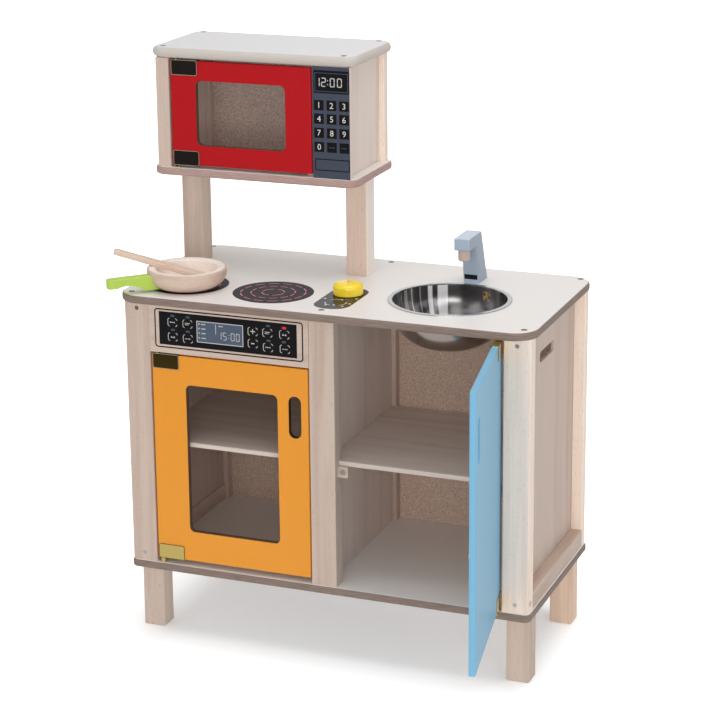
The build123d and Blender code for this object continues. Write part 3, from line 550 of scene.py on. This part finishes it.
def glyphs(name, items, look, place, lift, body):
    """Printed digits and signs: items are (text, middle u, middle v, height)."""
    polys = []
    for text, u, v, size in items:
        curve = bpy.data.curves.new("glyph", "FONT")
        curve.body = text
        curve.size = 1.0
        curve.resolution_u = 3
        tmp = bpy.data.objects.new("glyph", curve)
        bpy.context.collection.objects.link(tmp)
        dg = bpy.context.evaluated_depsgraph_get()
        me = bpy.data.meshes.new_from_object(tmp.evaluated_get(dg))
        xs = [p.co.x for p in me.vertices]
        ys = [p.co.y for p in me.vertices]
        measured = xs if text == "-" else ys
        k = size / (max(measured) - min(measured))
        mx, my = (max(xs) + min(xs)) / 2, (max(ys) + min(ys)) / 2
        for f in me.polygons:
            polys.append([(u + (me.vertices[i].co.x - mx) * k, v + (me.vertices[i].co.y - my) * k)
                          for i in f.vertices])
        bpy.data.objects.remove(tmp)
        bpy.data.meshes.remove(me)
        bpy.data.curves.remove(curve)
    marks(name, polys, look, place, lift, body)


INK = paint("ink_black", srgb(22, 20, 24), 0.35, shine=0.3)
SILVER_INK = paint("ink_pale", srgb(206, 204, 198), 0.4)
LCD = paint("ink_lcd", srgb(82, 96, 116), 0.35)
DECAL = paint("ink_slate", srgb(40, 34, 42), 0.5, shine=0.25)
PINK = paint("ink_pink", srgb(232, 128, 148), 0.4)
RED_INK = paint("ink_red", srgb(206, 48, 66), 0.4)
LED = paint("ink_led", srgb(70, 84, 100), 0.4)
GLOSS = paint("ink_gloss", srgb(32, 28, 34), 0.1, grain=0.0, shine=0.12)
TICK = paint("ink_tick", srgb(240, 236, 230), 0.4)
# Painted highlight and painted dark reflection for the edges of the hinge clamps
CLAMP_EDGE_HIGHLIGHT = paint("painted_rim_highlight", srgb(176, 162, 140), 0.3)
CLAMP_EDGE_DARK_REFLECTION = paint("painted_rim_dark_reflection", srgb(56, 50, 34), 0.4)
PALE = paint("ink_white", srgb(222, 218, 212), 0.4)

# Layers of print over a face, in mm
PRINT = 0.1
OVERPRINT = 0.2
TOP_PRINT = 0.3
# Layer of the painted light on the clamp edges
PAINTED_RIM_LIFT = 0.12
TAP_PRINT = 0.15

# Printed fields give their left, right, lower and upper side, in mm

# Keypad of the microwave
KEY_X = (-47.2, -28.0, -9.2)
KEY_Z = (783.2, 763.8, 743.6, 723.4)
KEY_HALF = (7.3, 7.2)
KEY_DIGIT = 8.4
CLOCK_X = (("1", -52.6), ("2", -43.2), ("0", -30.0), ("0", -19.2))
DISPLAY = (-54.6, -1.2, 800.4, 832.8)
DISPLAY_LINE = (-53.0, -2.8, 802.6, 829.4)
LONG_KEY = (-53.8, -1.2, 689.4, 706.6)
kp = front(KEYPAD_FRONT)
marks("keypad_display", [rounded(*DISPLAY, 1.2)], INK, kp, PRINT, "cabinet")
marks("keypad_display_line", frame_line(*DISPLAY_LINE, 0.6, 0.9), LED, kp, OVERPRINT, "cabinet")
digits = [bar for ch, x in CLOCK_X for bar in clock_digit(ch, x, 809.6, 7.3, 12.9, 1.35)]
digits += [disc(-33.4, z, 0.8, 10) for z in (818.6, 813.2)]
marks("keypad_clock", digits, SILVER_INK, kp, OVERPRINT, "cabinet")
keys = [rect(*sides(x, z, KEY_HALF)) for x in KEY_X for z in KEY_Z]
marks("keypad_keys", keys, INK, kp, PRINT, "cabinet")
glyphs("keypad_digits", [(str(i + 1), KEY_X[i % 3], KEY_Z[i // 3], KEY_DIGIT) for i in range(9)]
       + [("0", KEY_X[0], KEY_Z[3], KEY_DIGIT)], PALE, kp, OVERPRINT, "cabinet")
dots = [rect(KEY_X[1] - 4.5 + 2.4 * i, KEY_X[1] - 3.1 + 2.4 * i, 722.4, 723.9) for i in range(4)]
dots += [rect(KEY_X[2] - 4.0 + 2.8 * i, KEY_X[2] - 2.2 + 2.8 * i, 722.6, 724.0) for i in range(3)]
marks("keypad_signs", dots, LED, kp, OVERPRINT, "cabinet")
marks("keypad_bar", frame_line(*LONG_KEY, 1.0, 1.4), INK, kp, PRINT, "cabinet")

# Control panel over the oven: each key has its middle and the kind of sign in it
PANEL_KEYS = ((-227.3, 481.0, "dots"), (-203.7, 480.7, "lines"), (-227.3, 459.4, "peaks"),
              (-203.7, 458.8, "bars"), (-102.8, 479.6, None), (-103.0, 462.0, None),
              (-80.4, 479.8, "lines"), (-54.8, 479.6, "peaks"), (-79.8, 458.6, "dots"),
              (-54.2, 458.6, "bars"))
PANEL_KEY_HALF = (7.6, 6.2)
PANEL_KEY_ROUND = 3.2
PANEL_KEY_LINE = 0.9
CORNER = 4            # steps in each corner of a key's outline, which has no straight side but the left
LEFT_SIDE = 2 * CORNER + 1
PANEL_CLOCK_X = (("1", -156.8), ("5", -149.0), ("0", -136.6), ("0", -128.8))
PANEL_LINE = (-255.7, -26.5, 442.3, 500.0)
PANEL_BLACK = (-248.5, -36.0, 447.0, 495.8)
PANEL_LCD = (-189.0, -118.3, 456.0, 486.4)
PANEL_LCD_LINE = (-189.6, -117.6, 455.4, 487.0)
RED_LED = (-58.4, -51.6, 487.4, 491.2)
LED_HALF = (3.2, 1.6)
LED_AT = ((-226.9, 490.6), (-203.1, 490.5), (-226.8, 469.9), (-203.3, 469.4), (-79.3, 490.0),
          (-78.7, 468.6), (-55.5, 468.8))
SIGNS = {
    "dots": [rect(-4 + 2.9 * i, -2.2 + 2.9 * i, -0.8, 0.8) for i in range(3)],
    "lines": [rect(-4, 4, 0.6, 1.5), rect(-4, 2, -1.6, -0.7)],
    "peaks": [[(-3.4, -1.4), (-0.2, -1.4), (-1.8, 1.6)], [(0.4, -1.4), (3.6, -1.4), (2.0, 1.6)]],
    "bars": [rect(-4, -1, -0.6, 0.4), rect(0, 4, -0.6, 0.4)],
    None: [],
}
cp = front(PANEL_FRONT)
marks("panel_line", frame_line(*PANEL_LINE, 5.0, 1.9), INK, cp, PRINT, "cabinet")
marks("panel_black", [rounded(*PANEL_BLACK, 0.5)], INK, cp, PRINT, "cabinet")
marks("panel_lcd", [rounded(*PANEL_LCD, 0.4)], LCD, cp, OVERPRINT, "cabinet")
pale = frame_line(*PANEL_LCD_LINE, 0.5, 1.1)
signs = []
for x, z, kind in PANEL_KEYS:
    ring = frame_line(*sides(x, z, PANEL_KEY_HALF), PANEL_KEY_ROUND, PANEL_KEY_LINE, CORNER)
    pale += [q for i, q in enumerate(ring) if i % (CORNER + 1) != CORNER or i == LEFT_SIDE]
    signs += [[(x + u, z + v) for u, v in poly] for poly in SIGNS[kind]]
marks("panel_outlines", pale, SILVER_INK, cp, TOP_PRINT, "cabinet")
for z in (482.6, 476.0, 469.2, 462.2):
    signs += [disc(-185.6, z, 1.1, 10), rect(-182.4, -175.6, z - 0.8, z + 0.5)]
signs += [rect(-160.3, -159.4, 469.5, 484.2), rect(-155.6, -148.6, 481.4, 482.6)]
for ch, x in PANEL_CLOCK_X:
    signs += clock_digit(ch, x, 462.4, 5.6, 11.4, 0.95)
signs += [disc(-139.6, z, 0.6, 8) for z in (470.4, 465.8)]
marks("panel_signs", signs, SILVER_INK, cp, TOP_PRINT, "cabinet")
glyphs("panel_plus", [("+", -102.8, 479.6, 7.2), ("-", -103.0, 462.0, 4.6)], SILVER_INK, cp, TOP_PRINT,
       "cabinet")
lamps = [rounded(*sides(x, z, LED_HALF), 1.3, 3) for x, z in LED_AT]
marks("panel_leds", lamps, LED, cp, TOP_PRINT, "cabinet")
marks("panel_led_red", [rounded(*RED_LED, 1.6, 3)], RED_INK, cp, TOP_PRINT, "cabinet")

# Hob rings and the dial field under the knob
HOB = ((-232.0, -71.0), (-98.8, -73.0))
HOB_RADIUS = 58.0
RING_LINE = 1.7
HOB_RINGS = ((46.5, 14, 0.72, 0.0), (31.5, 12, 0.7, 0.4), (16.0, 4, 0.8, 0.2))   # as dashes takes them
DIAL_FIELD = (-22.5, 31.0, -127.0, -13.0)
DIAL_DOTS = ((-17, -79), (-4, -110), (7, -106), (21, -109), (26, -94), (26, -67), (8, -78))
wt = top(WORKTOP)
marks("hob_fields", [disc(x, y, HOB_RADIUS, 72) for x, y in HOB], DECAL, wt, PRINT, "cabinet")
rings = [q for x, y in HOB for r, count, share, turn in HOB_RINGS
         for q in dashes(x, y, r, RING_LINE, count, share, turn)]
marks("hob_rings", rings, PINK, wt, OVERPRINT, "cabinet")
marks("dial_field", [rounded(*DIAL_FIELD, 24, 8)], GLOSS, wt, PRINT, "cabinet")
ticks = [disc(x, y, 2.0, 10) for x, y in DIAL_DOTS]
ticks += dashes(5, -94, 15, 1.2, 3, 0.6, 0.55)
marks("dial_ticks", ticks, TICK, wt, OVERPRINT, "cabinet")

# Mark on the knob, and the dark field on the foot of the tap
MARK_LIFT = 0.25
TAP_FIELD = (140.0, 159.6, 525.4, 532.8)
TAP_FRONT = 68.7
TAP_LEAN = 9.5 / 57.2
knob_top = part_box("timer_knob")[1][2] / MM
marks("knob_mark", [disc(KNOB[0], KNOB[1] + 1.5, 2.0, 16)], RED_INK, top(knob_top - MARK_LIFT), MARK_LIFT,
      "timer_knob")


def tap_face(u, v, lift):
    """Marks on the tap's front face, which leans forward."""
    return Vector((u * MM, (TAP_FRONT - TAP_LEAN * (v - WORKTOP) - lift) * MM, v * MM))


marks("tap_field", [rounded(*TAP_FIELD, 0.8)], INK, tap_face, TAP_PRINT, "cabinet")

# Painted highlights and painted dark reflections on the edges of the hinge clamps: left, right, bottom, top
# and front of each clamp, and its paint
CLAMP_LINE = 0.65
CLAMP_ROUND = 2.6
CLAMP_INSET = 0.1
CLAMPS = (("microwave_door", ((-276.0, -235.0, 681.8, 704.0, -19.2, CLAMP_EDGE_HIGHLIGHT),
                              (-276.0, -235.0, 814.0, 836.2, -19.2, CLAMP_EDGE_HIGHLIGHT))),
          ("oven_door", ((-260.6, -219.6, 410.5, 432.7, -138.2, CLAMP_EDGE_HIGHLIGHT),
                         (-260.6, -219.6, 119.3, 141.5, -138.2, CLAMP_EDGE_DARK_REFLECTION))))
for body, rims in CLAMPS:
    for k, (x0, x1, z0, z1, y, look) in enumerate(rims):
        line = frame_line(x0 + CLAMP_INSET, x1 - CLAMP_INSET, z0 + CLAMP_INSET, z1 - CLAMP_INSET,
                          CLAMP_ROUND, CLAMP_LINE)
        marks(f"{body}_clamp_rim_{k}", line, look, front(y), PAINTED_RIM_LIFT, body)


# The pan, rounded from its foot to its rim, and the root of its handle

def turned(name, profile, cx, cy, base, looks, body, n=96):
    """A turned piece from radius, height and the number of the material that leads up to each."""
    rings = []
    bm = bmesh.new()
    for r, h, _ in profile:
        spots = [around(cx, cy, r, 2 * math.pi * i / n) for i in range(n)] if r > 0 else [(cx, cy)]
        rings.append([bm.verts.new((x * MM, y * MM, (base + h) * MM)) for x, y in spots])
    for a, b, step in zip(rings, rings[1:], profile[1:]):
        for i in range(n):
            j = (i + 1) % n
            corners = [a[i % len(a)], a[j % len(a)], b[j % len(b)], b[i % len(b)]]
            face = bm.faces.new(list(dict.fromkeys(corners)))
            face.material_index = step[2]
            face.smooth = True
    bmesh.ops.recalc_face_normals(bm, faces=bm.faces[:])
    ob = piece(name, bm, looks)
    ob.data.set_sharp_from_angle(angle=math.radians(40))
    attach(ob, body)
    return ob


def arc(steps, first, last, r_middle, h_middle, r_reach, h_reach, look):
    """Part of an ellipse in the outline, from one angle to another in degrees."""
    out = []
    for k in range(steps + 1):
        t = math.radians(first + (last - first) * k / steps)
        out.append((r_middle + r_reach * math.cos(t), h_middle + h_reach * math.sin(t), look))
    return out


PAN_BASE = 520.3
PAN_FOOT = 31.0           # radius of the flat foot
PAN_WALL = 57.5
PAN_BEND = 23.5           # height over which the wall rounds out from the foot
PAN_TOP = 29.0
PAN_RIM = 3.0             # rounding of the rim
RIM_DROP = 2.1            # how far the rim's rounding goes down outside
PAN_MOUTH = 44.5
PAN_FLOOR = 10.5
FLOOR_ROUND = 5.5
OUTER, INNER = 0, 1
outline = [(0.0, 0.0, OUTER)]
outline += arc(15, -90, 0, PAN_FOOT, PAN_BEND, PAN_WALL - PAN_FOOT, PAN_BEND, OUTER)
outline += arc(4, 0, 90, PAN_WALL - PAN_RIM, PAN_TOP - RIM_DROP, PAN_RIM, RIM_DROP, OUTER)[1:]
outline += arc(4, 90, 180, PAN_MOUTH + PAN_RIM, PAN_TOP - PAN_RIM, PAN_RIM, PAN_RIM, INNER)
outline += arc(5, 0, -90, PAN_MOUTH - FLOOR_ROUND, PAN_FLOOR + FLOOR_ROUND, FLOOR_ROUND, FLOOR_ROUND, INNER)
outline.append((0.0, PAN_FLOOR, INNER))
pan_shell = turned("pan_shell", outline, PAN[0], PAN[1], PAN_BASE, (PAN_WOOD, PAN_INSIDE_PAINTED_LIGHT), "pan")
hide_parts("pan_bowl")

HANDLE_ANGLE = -134
ROOT_HALF = 7.98
ROOT_OUTLINE = [(36, 3.2), (51.5, 3.2), (51.5, 12), (46, 12), (44, 9.8), (36, 9.8)]
out_way = math.radians(HANDLE_ANGLE)


def by_handle(reach, side, height):
    """A point so far out from the pan's middle along the handle, so far beside it and so high."""
    x = PAN[0] + reach * math.cos(out_way) - side * math.sin(out_way)
    y = PAN[1] + reach * math.sin(out_way) + side * math.cos(out_way)
    return (x * MM, y * MM, (PAN_BASE + height) * MM)


bm = bmesh.new()
ends = [[bm.verts.new(by_handle(r, side, h)) for r, h in ROOT_OUTLINE]
        for side in (-ROOT_HALF, ROOT_HALF)]
for end in ends:
    bm.faces.new(end)
for i in range(len(ROOT_OUTLINE)):
    j = (i + 1) % len(ROOT_OUTLINE)
    bm.faces.new([ends[0][i], ends[0][j], ends[1][j], ends[1][i]])
bmesh.ops.recalc_face_normals(bm, faces=bm.faces[:])
handle_root = piece("handle_root", bm, (LIME,))
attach(handle_root, "pan")


# Floor, light and camera

FLOOR_HALF = 12.0
PAINTED_SHADOW_HALF = (0.26, 0.12)     # the floor's glow is least this far round the kitchen's middle, a painted shadow over its own shade
GLOW_PER_METRE = 2.5
# Light of the floor as seen, by the distance from that shade: its glow is low near the kitchen as a painted
# shadow, and white further out
FLOOR_GLOW_PAINTED_SHADOW = [(0, (0.14, 0.14, 0.145, 1)), (0.1, grey(0.32)), (0.25, grey(0.55)), (0.5, grey(0.9))]
MIRRORED_FRONT = 2.0          # metres in front of the origin
# Light of the floor as mirrored, from there to the origin
FLOOR_MIRRORED = [(0.22, (0.03, 0.028, 0.025, 1)), (0.5, (0.12, 0.11, 0.08, 1)),
                  (0.66, (0.85, 0.85, 0.82, 1))]


def backdrop():
    me = bpy.data.meshes.new("floor")
    s = FLOOR_HALF
    me.from_pydata([(-s, -s, 0), (s, -s, 0), (s, s, 0), (-s, s, 0)], [], [(0, 1, 2, 3)])
    ob = bpy.data.objects.new("floor", me)
    bpy.context.collection.objects.link(ob)
    w = Mat("floor_white", 0.9)
    w.colour(grey(0.9))
    path = w.add("ShaderNodeLightPath")
    at = w.place()
    beside = w.math("MAXIMUM", w.math("SUBTRACT", w.math("ABSOLUTE", at["X"]), PAINTED_SHADOW_HALF[0]), 0.0)
    before = w.math("MAXIMUM", w.math("SUBTRACT", w.math("ABSOLUTE", at["Y"]), PAINTED_SHADOW_HALF[1]), 0.0)
    away = w.math("SQRT", w.math("ADD", w.times(beside, beside), w.times(before, before)))
    seen = w.add("ShaderNodeAddShader")
    w.link(w.bsdf.outputs["BSDF"], seen.inputs[0])
    # Less glow near the kitchen: painted shadow on the floor
    w.link(w.emit(w.ramp(w.times(away, GLOW_PER_METRE), FLOOR_GLOW_PAINTED_SHADOW)), seen.inputs[1])
    back = w.times(w.math("ADD", at["Y"], MIRRORED_FRONT), 1 / MIRRORED_FRONT)
    mirrored = w.emit(w.ramp(back, FLOOR_MIRRORED))
    other = w.either(path.outputs["Is Glossy Ray"], w.bsdf.outputs["BSDF"], mirrored)
    pick = w.either(path.outputs["Is Camera Ray"], other, seen.outputs["Shader"])
    w.link(pick, w.nt.nodes["Material Output"].inputs["Surface"])
    me.materials.append(w.m)


backdrop()

# Studio: even light all round, white behind the object, and dark and bright bands in mirrors
WORLD_LIGHT = 0.62
BAND_SCALE = 2.6
BAND_STOPS = ((0.46, grey(0.05)), (0.56, grey(0.9)))
world = bpy.data.worlds.new("studio")
bpy.context.scene.world = world
world.use_nodes = True
wn = world.node_tree


def background(strength):
    n = wn.nodes.new("ShaderNodeBackground")
    n.inputs["Color"].default_value = FULL
    n.inputs["Strength"].default_value = strength
    return n


def choose(fac, a, b):
    """One world shader where the factor is 0 and another where it is 1."""
    n = wn.nodes.new("ShaderNodeMixShader")
    for value, sock in ((fac, "Fac"), (a, 1), (b, 2)):
        wn.links.new(value, n.inputs[sock])
    return n.outputs["Shader"]


path = wn.nodes.new("ShaderNodeLightPath")
gloss = background(1.0)
coords = wn.nodes.new("ShaderNodeTexCoord")
bands = wn.nodes.new("ShaderNodeTexNoise")
bands.inputs["Scale"].default_value = BAND_SCALE
bands.inputs["Detail"].default_value = 1.0
wn.links.new(coords.outputs["Generated"], bands.inputs["Vector"])
shape = wn.nodes.new("ShaderNodeValToRGB")
for stop, (position, colour) in zip(shape.color_ramp.elements, BAND_STOPS):
    stop.position = position
    stop.color = colour
wn.links.new(bands.outputs["Fac"], shape.inputs["Fac"])
wn.links.new(shape.outputs["Color"], gloss.inputs["Color"])
lit = choose(path.outputs["Is Glossy Ray"], background(WORLD_LIGHT).outputs["Background"],
             gloss.outputs["Background"])
shown = choose(path.outputs["Is Camera Ray"], lit, background(1.0).outputs["Background"])
wn.links.new(shown, wn.nodes["World Output"].inputs["Surface"])


def area(name, at, aim, size, power):
    data = bpy.data.lights.new(name, "AREA")
    data.shape = "RECTANGLE"
    data.size, data.size_y = size
    data.energy = power
    ob = bpy.data.objects.new(name, data)
    ob.location = at
    ob.rotation_mode = "QUATERNION"
    ob.rotation_quaternion = (Vector(aim) - Vector(at)).to_track_quat("-Z", "Y")
    bpy.context.collection.objects.link(ob)


# Each light has its place, its aim, its width and height in metres, and its power in watts
LIGHTS = (("overhead", (0.3, -0.1, 3.1), (0, 0, 0.3), (2.2, 1.8), 26),
          ("front_left", (-1.6, -3.0, 1.6), (0, 0, 0.4), (1.6, 1.6), 1),
          ("front_right", (2.6, -2.8, 1.3), (0, 0, 0.4), (2.0, 2.0), 17),
          ("fill", (0.8, -3.3, 1.0), (0, 0, 0.4), (1.4, 1.2), 22))
for light in LIGHTS:
    area(*light)

# The camera stands where the photograph's edges put it
YAW, PITCH, ROLL = math.radians(21.5249), math.radians(15.0131), math.radians(0.5676)
CAMERA_AT = (1.12499, -2.85584, 1.35929)
IMAGE = (709.0, 710.0)        # width and height of the picture, in pixels
FOCAL = 2219.026              # in pixels
CENTRE = (355.783, 274.737)   # where the camera's axis meets the picture
SENSOR = 36.0
fwd = Vector((-math.sin(YAW) * math.cos(PITCH), math.cos(YAW) * math.cos(PITCH), -math.sin(PITCH)))
right = Vector((math.cos(YAW), math.sin(YAW), 0))
down = fwd.cross(right)
level_x = right * math.cos(ROLL) + down * math.sin(ROLL)
level_y = -right * math.sin(ROLL) + down * math.cos(ROLL)
cam_data = bpy.data.cameras.new("camera")
cam_data.sensor_width = SENSOR
cam_data.lens = FOCAL * SENSOR / IMAGE[1]
cam_data.shift_x = (IMAGE[0] / 2 - CENTRE[0]) / IMAGE[1]
cam_data.shift_y = (CENTRE[1] - IMAGE[1] / 2) / IMAGE[1]
cam_data.clip_start = 0.05
cam = bpy.data.objects.new("camera", cam_data)
bpy.context.collection.objects.link(cam)
turn = Matrix((level_x, -level_y, -fwd)).transposed()
cam.matrix_world = Matrix.Translation(CAMERA_AT) @ turn.to_4x4()
bpy.context.scene.camera = cam
bpy.context.scene.view_settings.view_transform = "Standard"
